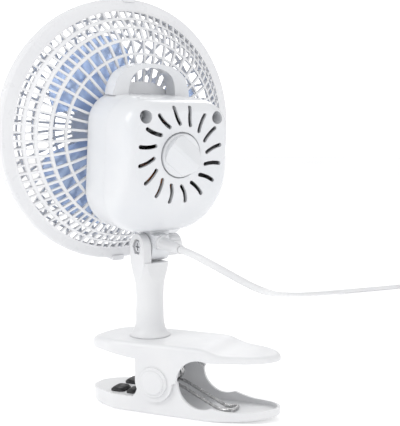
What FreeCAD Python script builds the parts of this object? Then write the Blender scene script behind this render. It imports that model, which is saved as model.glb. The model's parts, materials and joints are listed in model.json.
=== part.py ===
"""Clip-on desk fan, seen here as its separate pieces.

Row frame, in millimetres: +Z up, X along the clip from the jaw tips (-X) to the finger grips
(+X), Y across it. The floor is z = 0. The head is drawn in its own frame, X towards the rear of
the fan, Z up, origin on the tilt screw, and is then leaned and turned onto the stem.
"""
import FreeCAD
import Part
import math
import os

V = FreeCAD.Vector
X_AXIS = V(1, 0, 0)
Y_AXIS = V(0, 1, 0)
Z_AXIS = V(0, 0, 1)

# ---------------------------------------------------------------- driving dimensions
STEM_AT = V(-0.85, -21.85, 0)   # swivel axis, placed so that the fan's box is centred on the origin
HEAD_YAW = -31.5              # head's rear turned from the grips towards the near side, degrees
HEAD_LEAN = 5.7               # head's rear leaned down, degrees
RUN_FIT = 0.05                # radial clearance of a shaft that turns in a hole
GAP = 0.3                     # clearance between covers and parts that move past each other
WALL = 2.2                    # moulded wall thickness

# Clip, X measured from the swivel axis
JAW_TIP_X = -43.5
GRIP_END_X = 98.0
UPPER_HALF_W = 26.0
LOWER_HALF_W = UPPER_HALF_W - WALL - GAP
PLATE_TOP_Z = 50.0
GRIP_TOP_Z = 46.0
SKIRT_Z = 41.0
HINGE_X = 15.5
HINGE_Z = 23.6
EAR_R = 14.0
LUG_R = 12.2
PIN_R = 2.0
FINGER_X = 49.6               # round window between the grips, centre and radius
FINGER_Z = 24.8
FINGER_R = 17.0
DECK_Z = 11.0
SPRING_WIRE_R = 1.15
SPRING_R = 6.0
PAD_PLACES = [                  # centre, length and width of each rubber pad
              (-18.0, -10.6, 11.0, 14.5), (-18.0, 10.6, 11.0, 14.5),
              (-6.6, -12.0, 8.6, 12.5), (-6.6, 12.0, 8.6, 12.5)]

# Stem and its two pivots
STEM_R = 9.9
STEM_FOOT_R = 14.6
SPIGOT_R = 5.0
SPIGOT_LOW_Z = 42.2
TILT_Z = 114.0                # tilt screw above the floor
STEM_HEAD_W = 21.0
EAR_Y0 = -10.5                # stem's single ear, beside the head's tongue
EAR_Y1 = -4.2
TONGUE_Y0 = -3.6
TONGUE_Y1 = 11.2
TILT_EAR_R = 9.2
TONGUE_R = 10.4
TILT_SCREW_R = 2.5
KNOB_Y0 = TONGUE_Y1 + 0.9
KNOB_Y1 = KNOB_Y0 + 11.0
KNOB_R = 8.0
KNOB_FLUTES = 12

# Head, in the head's frame: housing and cover
AXLE_Z = 76.5                 # motor axle above the tilt screw
BODY_X0 = -20.0
BODY_X1 = 6.0
BODY_HALF_W = 42.0
BODY_LOW_Z = 12.0
BODY_TOP_Z = 106.0
BODY_LOW_R = 28.0
BODY_TOP_R = 20.0
COVER_X1 = 34.2
COVER_CZ = 68.8               # centre of the vents and the dial
COVER_SECTIONS = [            # distance behind the housing, z0, z1, half width, low and high corner
    (0.0, 12.0, 106.0, 42.0, 28.0, 20.0),
    (8.0, 14.2, 105.8, 41.9, 27.0, 20.0),
    (16.0, 20.0, 105.2, 41.4, 25.0, 20.0),
    (23.0, 30.0, 103.6, 40.0, 22.0, 19.5),
    (26.4, 37.5, 101.3, 37.8, 20.0, 18.5),
    (28.2, 43.5, 98.0, 34.5, 18.0, 17.0),
]
BRACKET_SCREW_Y = (TONGUE_Y0 - 4.5, TONGUE_Y1 + 4.5)
BRACKET_SCREW_X = -4.0
FLANGE_Z0 = BODY_LOW_Z + WALL   # bracket's flange, inside the housing
FLANGE_Z1 = FLANGE_Z0 + 3.0
NECK_X = 7.0                  # half depth of the tongue's neck
SLOT_SPARE = 1.0              # gap round the neck where it enters the housing
ARCH_X0 = -18.0
ARCH_X1 = -6.0
ARCH_OUTER = [(30.5, BODY_TOP_Z - 4), (29.6, 111.5), (25.5, 119.3), (15.0, 125.6), (0.0, 127.4)]
ARCH_INNER = [(18.5, BODY_TOP_Z - 8), (18.4, 110.5), (15.6, 118.4), (8.5, 123.1), (0.0, 124.4)]
SCREW_POSTS = [(-28.0, 94.0), (28.0, 94.0)]
WELL_R = 4.3
WELL_FLOOR_X = 22.0
VENTS = 16
VENT_FIRST = 5.0
VENT_R0 = 21.0
VENT_R1 = 32.0
VENT_W = 2.7
DIAL_R = 14.6
DIAL_TURN = -37.0
DIAL_RECESS_R = DIAL_R + 0.9
DIAL_FLOOR_X = COVER_X1 - 2.6
SWITCH_SHAFT_R = 3.0
SWITCH_X0 = 19.0
SWITCH_X1 = DIAL_FLOOR_X - WALL
TAB_Z = COVER_CZ - 8.0
TAB_YS = (-7.0, 0.0, 7.0)
LEAD_R = 0.8
LEAD_X = 4.0
LEAD_HOLE_R = 1.9

# Motor
MOTOR_X0 = -8.0               # lamination stack, front and rear
MOTOR_X1 = 6.0
MOTOR_POSTS = [(-27.0, AXLE_Z), (27.0, AXLE_Z)]
MOTOR_SCREW_Y = 18.5
CORE_HALF_W = 23.0
CORE_Z0 = AXLE_Z - 36.0
CORE_Z1 = AXLE_Z + 19.0
COIL_LEG_Z1 = CORE_Z0 + 9.0
BOBBIN_W = 26.0
ROTOR_R = 11.2
AIR_GAP = 0.4
WINDING_OUT = 6.2
SHAFT_R = 2.5
BUSH_R = 5.0
BEARING_OUT = 7.0             # bearing plates stand this far off the stack

# Blade
BLADE_COUNT = 3
BLADE_FIRST = 112.0           # angle of the first blade's middle, from +Y towards +Z
BLADE_SPAN = 88.0
BLADE_SWEEP = 10.0
BLADE_PITCH = 15.0            # rise from the trailing to the leading edge
BLADE_THICK = 1.5
BLADE_R = 71.0
BLADE_X = -53.0
HUB_R = 17.0
HUB_X0 = BLADE_X - 11.0
HUB_X1 = BLADE_X + 9.0

# Guards
RIM_R = 95.0
RIBS = 45
RIB_W = 1.7
REAR_RINGS = [37.0, 57.0, 67.0, 75.0, 81.0, 87.0]
FRONT_RINGS = [23.0, 39.0, 57.0, 71.0, 81.0, 89.6]
FRONT_X = BODY_X0 - 31.7      # where the front guard's flange meets the rear guard's band
GUARD_SCREWS = [(25.0 * math.cos(math.radians(a)), AXLE_Z + 25.0 * math.sin(math.radians(a)))
                for a in (45, 135, 225, 315)]

# Cord, 5 mm across and 1.6 m long
CORD_R = 2.5
CORD_EXIT = V(13.0, 2.0, 5.0)   # face of the cord's boss, in the head's frame
BOSS_R = 5.6
RELIEF_LEN = 24.0
RELIEF_ROOT_R = 4.2
RELIEF_TIP_R = 3.2
# its route on and above the floor, from the swivel axis, after the strain relief's tip
CORD_ROUTE = [
    V(44.8, -25.1, 113.9), V(60.0, -27.0, 108.0), V(73.0, -20.0, 99.5), V(80.5, -6.5, 91.5),
    V(80.5, 11.5, 86.0), V(74.0, 37.0, 80.5), V(61.5, 80.0, 71.5), V(43.5, 141.5, 59.0),
    V(23.5, 206.0, 46.0), V(5.5, 272.5, 33.0), V(-6.0, 338.5, 20.5), V(-8.5, 401.0, 10.0),
    V(1.5, 451.5, 4.0), V(22.5, 485.5, 2.5), V(49.5, 515.0, 2.5), V(74.0, 545.0, 2.5),
    V(94.5, 567.0, 3.3),
]
COIL_AT = V(116.5, 546.5, 0)    # centre of the coiled length
COIL_R0 = 22.5                  # inside and outside of its turns
COIL_R1 = 32.5
COIL_H = 10.0
# end of the cord, from the coil's centre to the plug
TAIL_ROUTE = [
    V(-14.5, 25.1, 10.0), V(0.0, 28.2, 12.9), V(14.3, 24.8, 13.2), V(24.8, 14.0, 12.8),
    V(29.2, -0.5, 11.2), V(30.7, -15.5, 8.6), V(31.0, -30.0, 7.0), V(31.0, -43.0, 7.0),
]
TIE_THICK = 0.8
TIE_W = 5.0
PLUG_LEN = 26.0
PLUG_HALF_W = 11.0
PLUG_HALF_H = 7.0
PIN_LEN = 17.5
PIN_YS = (-6.35, 6.35)


# ---------------------------------------------------------------- small tools
def box(x0, x1, y0, y1, z0, z1):
    return Part.makeBox(x1 - x0, y1 - y0, z1 - z0, V(x0, y0, z0))


def cyl_x(r, x0, x1, y=0.0, z=0.0):
    return Part.makeCylinder(r, x1 - x0, V(x0, y, z), X_AXIS)


def cyl_y(r, y0, y1, x=0.0, z=0.0):
    return Part.makeCylinder(r, y1 - y0, V(x, y0, z), Y_AXIS)


def cyl_z(r, z0, z1, x=0.0, y=0.0):
    return Part.makeCylinder(r, z1 - z0, V(x, y, z0), Z_AXIS)


def fuse(shapes):
    return shapes[0].multiFuse(shapes[1:]).removeSplitter()


def solid(shape):
    """The one solid of a boolean result."""
    if len(shape.Solids) != 1:
        raise ValueError("expected one solid, got %d" % len(shape.Solids))
    return shape.Solids[0]


def polygon_face(points):
    return Part.Face(Part.makePolygon(points + [points[0]]))


def turned(profile, axis_z=0.0):
    """Solid of revolution about the X direction; profile is a list of (x, radius)."""
    face = polygon_face([V(x, 0, axis_z + r) for x, r in profile])
    return face.revolve(V(0, 0, axis_z), X_AXIS, 360)


def spline(points, start=None, end=None):
    curve = Part.BSplineCurve()
    if start is None:
        curve.interpolate(points)
    else:
        curve.interpolate(Points=points, InitialTangent=start, FinalTangent=end)
    return curve.toShape()


def round_frame(half_w, z0, z1, r_low, r_high, x):
    """Rounded rectangle wire across the X direction, with its own corner radius above and below."""
    corners = [(half_w - r_high, z1 - r_high, r_high, 0), (r_high - half_w, z1 - r_high, r_high, 90),
               (r_low - half_w, z0 + r_low, r_low, 180), (half_w - r_low, z0 + r_low, r_low, 270)]
    arcs = []
    for cy, cz, r, start in corners:
        turns = [math.radians(start + turn) for turn in (0, 45, 90)]
        arcs.append([V(x, cy + r * math.cos(a), cz + r * math.sin(a)) for a in turns])
    edges = []
    for i, points in enumerate(arcs):
        edges.append(Part.Arc(*points).toShape())
        edges.append(Part.LineSegment(points[2], arcs[(i + 1) % 4][0]).toShape())
    return Part.Wire(edges)


def round_rect(half_w, half_h, corner, x, cz):
    return round_frame(half_w, cz - half_h, cz + half_h, corner, corner, x)


def hexagon_y(across_flats, y0, y1):
    r = across_flats / math.sqrt(3)
    turns = [math.radians(60 * k) for k in range(6)]
    points = [V(r * math.cos(a), y0, r * math.sin(a)) for a in turns]
    return polygon_face(points).extrude(V(0, y1 - y0, 0))


def pan_head(r, head_r, head_h, x_face, x_end, y=0.0, z=0.0):
    """Screw along X with a domed, cross-slotted head that stands behind x_face."""
    shank = cyl_x(r, min(x_face, x_end), max(x_face, x_end), y, z)
    way = 1 if x_face > x_end else -1
    head = cyl_x(head_r, min(x_face, x_face + way * head_h), max(x_face, x_face + way * head_h), y, z)
    top = x_face + way * head_h
    cross = [box(min(top, top - way), max(top, top - way), y - a, y + a, z - b, z + b)
             for a, b in ((head_r * 0.6, 0.4), (0.4, head_r * 0.6))]
    return solid(shank.fuse(head).cut(cross[0]).cut(cross[1]))


# ---------------------------------------------------------------- clip
def clip_outline(tip_x, end_x, half_w, z0, z1):
    """Boat-shaped plan of a jaw, extruded upwards."""
    half = [(-35.0, 0.62), (-24.0, 0.86)]
    grip = [(72.0, 0.84), (88.0, 0.58)]
    left = [V(-8, half_w, 0)] + [V(x, half_w * k, 0) for x, k in reversed(half)] + [V(tip_x, 0, 0)]
    left += [V(x, -half_w * k, 0) for x, k in half] + [V(-8, -half_w, 0)]
    right = [V(52, -half_w, 0)] + [V(x, -half_w * k, 0) for x, k in grip] + [V(end_x, 0, 0)]
    right += [V(x, half_w * k, 0) for x, k in reversed(grip)] + [V(52, half_w, 0)]
    wire = Part.Wire([
        spline(left, V(-60, 0, 0), V(60, 0, 0)),
        Part.LineSegment(V(-8, -half_w, 0), V(52, -half_w, 0)).toShape(),
        spline(right, V(60, 0, 0), V(-60, 0, 0)),
        Part.LineSegment(V(52, half_w, 0), V(-8, half_w, 0)).toShape()])
    prism = Part.Face(wire).extrude(V(0, 0, z1 - z0))
    prism.translate(V(0, 0, z0))
    return prism


def side_prism(edges, half_w):
    face = Part.Face(Part.Wire(Part.sortEdges(edges)[0]))
    face.translate(V(0, -half_w, 0))
    return face.extrude(V(0, 2 * half_w, 0))


def line_xz(points):
    return [Part.LineSegment(V(a[0], 0, a[1]), V(b[0], 0, b[1])).toShape()
            for a, b in zip(points, points[1:])]


def arc_xz(cx, cz, r, a0, a1):
    points = [V(cx + r * math.cos(math.radians(a)), 0, cz + r * math.sin(math.radians(a)))
              for a in (a0, (a0 + a1) / 2.0, a1)]
    return Part.Arc(*points).toShape()


def upper_top_edge(drop):
    """Crown of the upper jaw in side view, stepping down to the finger grip."""
    z = PLATE_TOP_Z - drop
    g = GRIP_TOP_Z - drop
    points = [(-50, z - 5.5), (-43, z - 3.6), (-33, z - 1.2), (-22, z - 0.2), (-8, z), (10, z), (28, z),
              (44, z), (52, z - 0.5), (58, z - 2.2), (64, g + 0.3), (72, g), (86, g), (104, g - 0.8)]
    return spline([V(x, 0, zz) for x, zz in points]), points[0], points[-1]


def make_upper_jaw():
    crown, first, last = upper_top_edge(0)
    ear_x0 = HINGE_X - EAR_R
    ear_x1 = HINGE_X + EAR_R
    low = math.degrees(math.asin((SKIRT_Z - FINGER_Z) / FINGER_R))
    window_x = FINGER_X + FINGER_R * math.cos(math.radians(low))
    outline = [crown]
    outline += line_xz([first, (first[0], SKIRT_Z), (-19, SKIRT_Z), (-5, 39.2), (ear_x0, 38.6),
                        (ear_x0, HINGE_Z)])
    outline += [arc_xz(HINGE_X, HINGE_Z, EAR_R, 180, 360)]
    outline += line_xz([(ear_x1, HINGE_Z), (FINGER_X - FINGER_R, FINGER_Z)])
    outline += [arc_xz(FINGER_X, FINGER_Z, FINGER_R, 180, low)]
    outline += line_xz([(window_x, SKIRT_Z), (last[0], SKIRT_Z + 0.6), last])
    outer = clip_outline(JAW_TIP_X, GRIP_END_X, UPPER_HALF_W, 0, 60).common(side_prism(outline, 40))
    outer = round_top(solid(outer), 3.2, upward=True)
    under, first, last = upper_top_edge(WALL + 0.4)
    room = side_prism([under] + line_xz([first, (first[0], -5), (last[0], -5), last]), 40)
    hollow = clip_outline(JAW_TIP_X + WALL, GRIP_END_X - WALL, UPPER_HALF_W - WALL, -5, 60).common(room)
    jaw = outer.cut(hollow)
    jaw = jaw.fuse(cyl_z(9.5, SKIRT_Z + 2, PLATE_TOP_Z - 1))
    deck = clip_outline(JAW_TIP_X + 1.0, GRIP_END_X, UPPER_HALF_W - 1.0, SKIRT_Z + 1.5, 46).common(
        box(-60, -0.5, -40, 40, 0, 60))
    jaw = jaw.fuse(deck)
    jaw = jaw.cut(cyl_z(SPIGOT_R + RUN_FIT, SKIRT_Z - 4, PLATE_TOP_Z + 1))
    jaw = jaw.cut(cyl_y(PIN_R, -40, 40, HINGE_X, HINGE_Z))
    stop = box(20, 24, -18, 18, 38.6, PLATE_TOP_Z - 2)
    return solid(jaw.fuse(stop).removeSplitter())


def round_top(shape, radius, upward):
    """Round the long edge where a jaw's crown or keel meets its side."""
    edges = []
    for edge in shape.Edges:
        box_ = edge.BoundBox
        if box_.XLength > 20 and box_.ZLength < 8:
            if upward and box_.ZMin > SKIRT_Z + 2.0:
                edges.append(edge)
            if not upward and box_.ZMax < 6.5:
                edges.append(edge)
    return solid(shape.makeFillet(radius, edges))


def make_lower_jaw():
    keel = [(-50, 3.4), (-43, 2.0), (-34, 0.6), (-24, 0.0), (-8, 0.0), (20, 0.0), (44, 0.0), (58, 0.2),
            (72, 1.0), (86, 2.3), (104, 5.0)]
    rim = [(57, 7.2), (70, 7.4), (84, 7.8), (104, 9.4)]
    bottom = math.degrees(math.acos((57 - FINGER_X) / FINGER_R))
    outline = [spline([V(x, 0, z) for x, z in keel])]
    window_end = (FINGER_X + FINGER_R * math.cos(math.radians(-bottom)),
                  FINGER_Z + FINGER_R * math.sin(math.radians(-bottom)))
    outline += line_xz([keel[-1], rim[-1]])
    outline += [spline([V(window_end[0], 0, window_end[1])] + [V(x, 0, z) for x, z in rim[1:]])]
    outline += [arc_xz(FINGER_X, FINGER_Z, FINGER_R, 180, 360 - bottom)]
    a = math.radians(20)
    lug_end = (HINGE_X + LUG_R * math.cos(a), HINGE_Z + LUG_R * math.sin(a))
    outline += line_xz([(FINGER_X - FINGER_R, FINGER_Z), lug_end])
    outline += [arc_xz(HINGE_X, HINGE_Z, LUG_R, 20, 190)]
    a = math.radians(190)
    lug_start = (HINGE_X + LUG_R * math.cos(a), HINGE_Z + LUG_R * math.sin(a))
    outline += line_xz([lug_start, (0.5, 14.0), (-1.8, DECK_Z), (-42, DECK_Z), (-50, 8.6), keel[0]])
    outer = clip_outline(JAW_TIP_X, GRIP_END_X, LOWER_HALF_W, -2, 60).common(side_prism(outline, 40))
    outer = round_top(solid(outer), 1.6, upward=False)
    trough = line_xz([(-1.5, 70), (-1.5, 2.4), (58, 2.4), (100, 6.4), (120, 70), (-1.5, 70)])
    trough = side_prism(trough, 40).common(
        clip_outline(JAW_TIP_X + WALL, GRIP_END_X - WALL, LOWER_HALF_W - WALL, -2, 60))
    jaw = outer.cut(trough)
    nose = line_xz([(-40, 2.6), (-4, 2.4), (-4, DECK_Z - 2.4), (-40, DECK_Z - 2.4), (-40, 2.6)])
    nose = side_prism(nose, 40).common(clip_outline(JAW_TIP_X + 3, 90, LOWER_HALF_W - 3, -2, 60))
    jaw = jaw.cut(nose)
    jaw = jaw.cut(cyl_y(PIN_R + RUN_FIT, -40, 40, HINGE_X, HINGE_Z))
    flat_foot = box(-100, 200, -60, 60, -5, 0)
    return solid(jaw.cut(flat_foot).removeSplitter())


def make_pads(z, way):
    """Four rubber gripping pads, raised petals with a bevelled edge."""
    pads = []
    for x, y, length, width in PAD_PLACES:
        low = round_rect(width / 2, length / 2, 3.6, 0, 0)
        high = round_rect(width / 2 - 1.6, length / 2 - 1.6, 2.2, 2.4, 0)
        mid = round_rect(width / 2, length / 2, 3.6, 1.0, 0)
        pad = Part.makeLoft([low, mid], True).fuse(Part.makeLoft([mid, high], True)).removeSplitter()
        pad.rotate(V(0, 0, 0), Y_AXIS, -90 * way)
        pad.translate(V(x, y, z))
        pads.append(pad)
    return Part.makeCompound([solid(p) for p in pads])


def make_hinge_pin():
    return cyl_y(PIN_R, -UPPER_HALF_W - 1.2, UPPER_HALF_W + 1.2, HINGE_X, HINGE_Z)


def make_pin_caps():
    """Round covers pressed on the ends of the pin, on the outside of the ears."""
    profile = [(0, 0), (0, 10.4), (1.1, 10.4), (1.6, 9.9), (1.6, 8.6), (2.6, 8.0), (2.9, 7.0), (2.9, 0)]
    caps = []
    for side in (-1, 1):
        cap = turned(profile)
        cap.rotate(V(0, 0, 0), Z_AXIS, 90 * side)
        cap.translate(V(HINGE_X, side * UPPER_HALF_W, HINGE_Z))
        socket = cyl_y(PIN_R, -UPPER_HALF_W - 1.2, UPPER_HALF_W + 1.2, HINGE_X, HINGE_Z)
        caps.append(solid(cap.cut(socket)))
    return Part.makeCompound(caps)


def wire_run(points, r):
    """Round wire through straight runs, mitred with a ball at each bend."""
    parts = []
    for a, b in zip(points, points[1:]):
        way = b.sub(a)
        parts.append(Part.makeCylinder(r, way.Length, a, way))
    parts += [Part.makeSphere(r, p) for p in points[1:-1]]
    return solid(fuse(parts))


def make_torsion_spring():
    """Double torsion spring: two coil packs round the pin, one leg to each grip."""
    outer = SPRING_R + SPRING_WIRE_R
    inner = SPRING_R - SPRING_WIRE_R
    parts = []
    for y0, y1 in ((-13.0, -4.0), (4.0, 13.0)):
        bore = cyl_y(inner, y0 - 1, y1 + 1, HINGE_X, HINGE_Z)
        parts.append(cyl_y(outer, y0, y1, HINGE_X, HINGE_Z).cut(bore))
    for side in (-1, 1):
        y = side * 5.2
        foot = V(57.0, y, 2.4 + SPRING_WIRE_R + 0.1)
        start = V(HINGE_X + 1.5, y, HINGE_Z - SPRING_R + 0.2)
        toe = V(66.5, y, 3.2 + SPRING_WIRE_R + 0.3)
        parts.append(wire_run([start, V(24, y, 18.6), foot, toe], SPRING_WIRE_R))
        y = side * 11.8
        head = V(43.0, y, GRIP_TOP_Z + 1.4 - SPRING_WIRE_R)
        parts.append(wire_run([V(HINGE_X - 1, y, HINGE_Z + SPRING_R - 0.2), head], SPRING_WIRE_R))
    parts.append(wire_run([V(66.5, -5.2, 4.65), V(66.5, 5.2, 4.65)], SPRING_WIRE_R))
    return solid(fuse(parts))


def clip_parts():
    return {
        "upper_jaw": make_upper_jaw(),
        "lower_jaw": make_lower_jaw(),
        "upper_jaw_pads": make_pads(SKIRT_Z + 1.5, -1),
        "lower_jaw_pads": make_pads(DECK_Z, 1),
        "hinge_pin": make_hinge_pin(),
        "hinge_pin_caps": make_pin_caps(),
        "clip_torsion_spring": make_torsion_spring(),
    }



# ---------------------------------------------------------------- stem and its pivots
def make_stem():
    """Turned pillar on a spigot, flattened to a square at the top, with one ear beside the tongue."""
    foot_z = PLATE_TOP_Z + 0.2
    shoulder_z = TILT_Z - TONGUE_R - 0.5
    half = STEM_HEAD_W / 2
    waist = spline([V(STEM_FOOT_R, 0, foot_z + 0.8), V(11.3, 0, foot_z + 5), V(STEM_R + 0.2, 0, foot_z + 11),
                    V(STEM_R, 0, foot_z + 18), V(STEM_R, 0, 82.0), V(10.6, 0, 89.0), V(12.3, 0, 96.0),
                    V(13.4, 0, shoulder_z)])
    rest = [V(13.4, 0, shoulder_z), V(0, 0, shoulder_z), V(0, 0, SPIGOT_LOW_Z), V(SPIGOT_R, 0, SPIGOT_LOW_Z),
            V(SPIGOT_R, 0, foot_z), V(STEM_FOOT_R, 0, foot_z), V(STEM_FOOT_R, 0, foot_z + 0.8)]
    edges = [waist] + [Part.LineSegment(a, b).toShape() for a, b in zip(rest, rest[1:])]
    stem = Part.Face(Part.Wire(Part.sortEdges(edges)[0])).revolve(V(0, 0, 0), Z_AXIS, 360)
    for turn in (0, 90, 180, 270):
        side = box(half, 30, -30, 30, 80, 120)
        side.rotate(V(0, 0, 0), Z_AXIS, turn)
        stem = stem.cut(side)
    ear = cyl_y(TILT_EAR_R, EAR_Y0, EAR_Y1, 0, TILT_Z)
    ear = ear.fuse(box(-TILT_EAR_R, TILT_EAR_R, -half, EAR_Y1, shoulder_z - 2, TILT_Z)).removeSplitter()
    stem = stem.fuse(ear.common(box(-30, 30, -half, half, 0, 200))).removeSplitter()
    stem = stem.cut(hexagon_y(10.4, EAR_Y0 - 1, EAR_Y0 + 3.0).translated(V(0, 0, TILT_Z)))
    stem = stem.cut(cyl_y(TILT_SCREW_R, EAR_Y0 - 1, EAR_Y1 + 1, 0, TILT_Z))
    stem = stem.cut(cyl_z(1.8, SPIGOT_LOW_Z - 1, SPIGOT_LOW_Z + 14))
    return solid(stem)


def make_tilt_screw():
    floor_y = EAR_Y0 + 3.0
    shank = cyl_y(TILT_SCREW_R, floor_y, KNOB_Y1 - 2.0, 0, TILT_Z)
    head = cyl_y(4.4, floor_y - 2.3, floor_y, 0, TILT_Z)
    head = head.makeFillet(0.8, [e for e in head.Edges if abs(e.BoundBox.YMax - floor_y + 2.3) < 0.01])
    top = floor_y - 2.3
    cross = [box(-a, a, top - 1, top + 1.4, TILT_Z - b, TILT_Z + b) for a, b in ((2.6, 0.55), (0.55, 2.6))]
    return solid(shank.fuse(head).cut(cross[0]).cut(cross[1]).removeSplitter())


def make_tilt_washer(y0, y1):
    return cyl_y(7.6, y0, y1, 0, TILT_Z).cut(cyl_y(TILT_SCREW_R + 0.2, y0 - 1, y1 + 1, 0, TILT_Z))


def make_tilt_knob():
    """Fluted thumb nut on the free end of the tilt screw."""
    knob = cyl_y(KNOB_R, KNOB_Y0, KNOB_Y1, 0, TILT_Z)
    knob = knob.makeFillet(1.4, [e for e in knob.Edges if abs(e.BoundBox.YMin - KNOB_Y1) < 0.01])
    flutes = []
    for k in range(KNOB_FLUTES):
        a = 2 * math.pi * k / KNOB_FLUTES
        flutes.append(cyl_y(1.3, KNOB_Y0 + 2, KNOB_Y1 + 1, (KNOB_R + 0.7) * math.cos(a),
                            TILT_Z + (KNOB_R + 0.7) * math.sin(a)))
    knob = knob.cut(Part.makeCompound(flutes))
    return solid(knob.cut(cyl_y(TILT_SCREW_R + RUN_FIT, KNOB_Y0 - 1, KNOB_Y1 - 1.6, 0, TILT_Z)))


def make_swivel_screw():
    shank = cyl_z(1.8, SPIGOT_LOW_Z - 1.0, SPIGOT_LOW_Z + 13)
    head = cyl_z(3.8, SPIGOT_LOW_Z - 3.2, SPIGOT_LOW_Z - 1.0)
    slots = [box(-a, a, -b, b, SPIGOT_LOW_Z - 4, SPIGOT_LOW_Z - 2.2) for a, b in ((2.3, 0.45), (0.45, 2.3))]
    return solid(shank.fuse(head).cut(slots[0]).cut(slots[1]).removeSplitter())


def stem_parts():
    washer = cyl_z(6.6, SPIGOT_LOW_Z - 1.0, SPIGOT_LOW_Z).cut(cyl_z(1.8, 0, 60))
    return {
        "stem": make_stem(),
        "swivel_washer": washer,
        "swivel_screw": make_swivel_screw(),
        "tilt_screw": make_tilt_screw(),
        "tilt_friction_washer": make_tilt_washer(EAR_Y1, TONGUE_Y0 - 0.15),
        "tilt_knob": make_tilt_knob(),
        "tilt_knob_washer": make_tilt_washer(TONGUE_Y1 + 0.15, KNOB_Y0 - 0.15),
    }


# ---------------------------------------------------------------- head: bracket and housing
def body_frame(x, inset=0.0):
    return round_frame(BODY_HALF_W - inset, BODY_LOW_Z + inset, BODY_TOP_Z - inset,
                       BODY_LOW_R - inset, BODY_TOP_R - inset, x)


def prism_x(wire, length):
    return Part.Face(wire).extrude(V(length, 0, 0))


def make_tilt_bracket():
    """Tongue on the tilt screw, neck into the housing, flange inside it, and the cord's boss."""
    tongue = cyl_y(TONGUE_R, TONGUE_Y0, TONGUE_Y1)
    neck = box(-NECK_X, NECK_X, TONGUE_Y0, TONGUE_Y1, 0, FLANGE_Z1)
    flange = box(-12, 3, TONGUE_Y0 - 8, TONGUE_Y1 + 8, FLANGE_Z0, FLANGE_Z1)
    flange = flange.common(prism_x(body_frame(-20, WALL), 40))
    x, y, z = CORD_EXIT
    boss = cyl_x(BOSS_R, 0, x, y, z).fuse(box(0, x, y - BOSS_R, y + BOSS_R, z, z + 5.0))
    bracket = fuse([tongue, neck, flange, boss])
    bracket = bracket.cut(cyl_y(TILT_SCREW_R + RUN_FIT, TONGUE_Y0 - 1, TONGUE_Y1 + 1))
    bracket = bracket.cut(cyl_x(RELIEF_ROOT_R, x - 4, x + 1, y, z))
    bracket = bracket.cut(cyl_x(LEAD_HOLE_R, LEAD_X, x, y, z))
    bracket = bracket.cut(cyl_z(LEAD_HOLE_R, z - LEAD_HOLE_R, 30, LEAD_X, y))
    for screw_y in BRACKET_SCREW_Y:
        bracket = bracket.cut(cyl_z(1.5, BODY_LOW_Z, BODY_LOW_Z + 10, BRACKET_SCREW_X, screw_y))
    return solid(bracket)


def arch_wire(points, x):
    """Closed arch profile: a smooth curve over the top and a straight foot."""
    curve = spline([V(x, y, z) for y, z in points])
    foot = Part.LineSegment(V(x, *points[-1]), V(x, *points[0])).toShape()
    return Part.Wire([curve, foot])


def mirrored_arch(half):
    return [(-y, z) for y, z in half] + [(y, z) for y, z in reversed(half[:-1])]


def neck_slot():
    """Slot under the housing and the cover where the neck goes in."""
    return box(-NECK_X - SLOT_SPARE, NECK_X + SLOT_SPARE, TONGUE_Y0 - SLOT_SPARE, TONGUE_Y1 + SLOT_SPARE,
               0, FLANGE_Z0 + 0.8)


def make_front_housing():
    """Shell that carries the motor, with the carrying arch moulded on its top."""
    outer = prism_x(body_frame(BODY_X0), BODY_X1 - BODY_X0)
    rounded = [e for e in outer.Edges if abs(e.BoundBox.XMax - BODY_X0) < 0.01]
    outer = outer.makeFillet(1.0, rounded)
    inner = prism_x(body_frame(BODY_X0 + WALL, WALL), BODY_X1 - BODY_X0)
    arch = prism_x(arch_wire(mirrored_arch(ARCH_OUTER), ARCH_X0), ARCH_X1 - ARCH_X0)
    hole = prism_x(arch_wire(mirrored_arch(ARCH_INNER), ARCH_X0 - 1), ARCH_X1 - ARCH_X0 + 2)
    keep = box(-60, 60, -60, 60, BODY_TOP_Z - 1, 200)
    arch = arch.cut(hole.common(keep)).common(keep)
    shell = outer.fuse(arch).cut(inner)
    for y, z in SCREW_POSTS:
        post = cyl_x(4.0, BODY_X0 + 1, BODY_X1 - 0.5, y, z)
        shell = shell.fuse(post).cut(cyl_x(1.3, BODY_X1 - 11, BODY_X1 + 1, y, z))
    for y, z in MOTOR_POSTS:
        post = cyl_x(4.0, BODY_X0 + 1, MOTOR_X0 - 2.0, y, z)
        shell = shell.fuse(post).cut(cyl_x(1.3, BODY_X0 + 3, BODY_X1 + 1, y, z))
    for y, z in GUARD_SCREWS:
        shell = shell.cut(cyl_x(1.3, BODY_X0 - 1, BODY_X0 + WALL + 1, y, z))
    shell = shell.cut(cyl_x(13.0, BODY_X0 - 1, BODY_X0 + WALL + 1, 0, AXLE_Z))
    for y in BRACKET_SCREW_Y:
        shell = shell.cut(cyl_z(1.5, BODY_LOW_Z - 1, FLANGE_Z0 + 1, BRACKET_SCREW_X, y))
    shell = shell.cut(neck_slot())
    return solid(shell.removeSplitter())


def cover_body(inset):
    wires = []
    for dx, z0, z1, half_w, r_low, r_high in COVER_SECTIONS:
        x = BODY_X1 + dx - inset * (dx / 28.2)
        wires.append(round_frame(half_w - inset, z0 + inset, z1 - inset, r_low - inset, r_high - inset, x))
    return solid(Part.makeLoft(wires, True))


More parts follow.
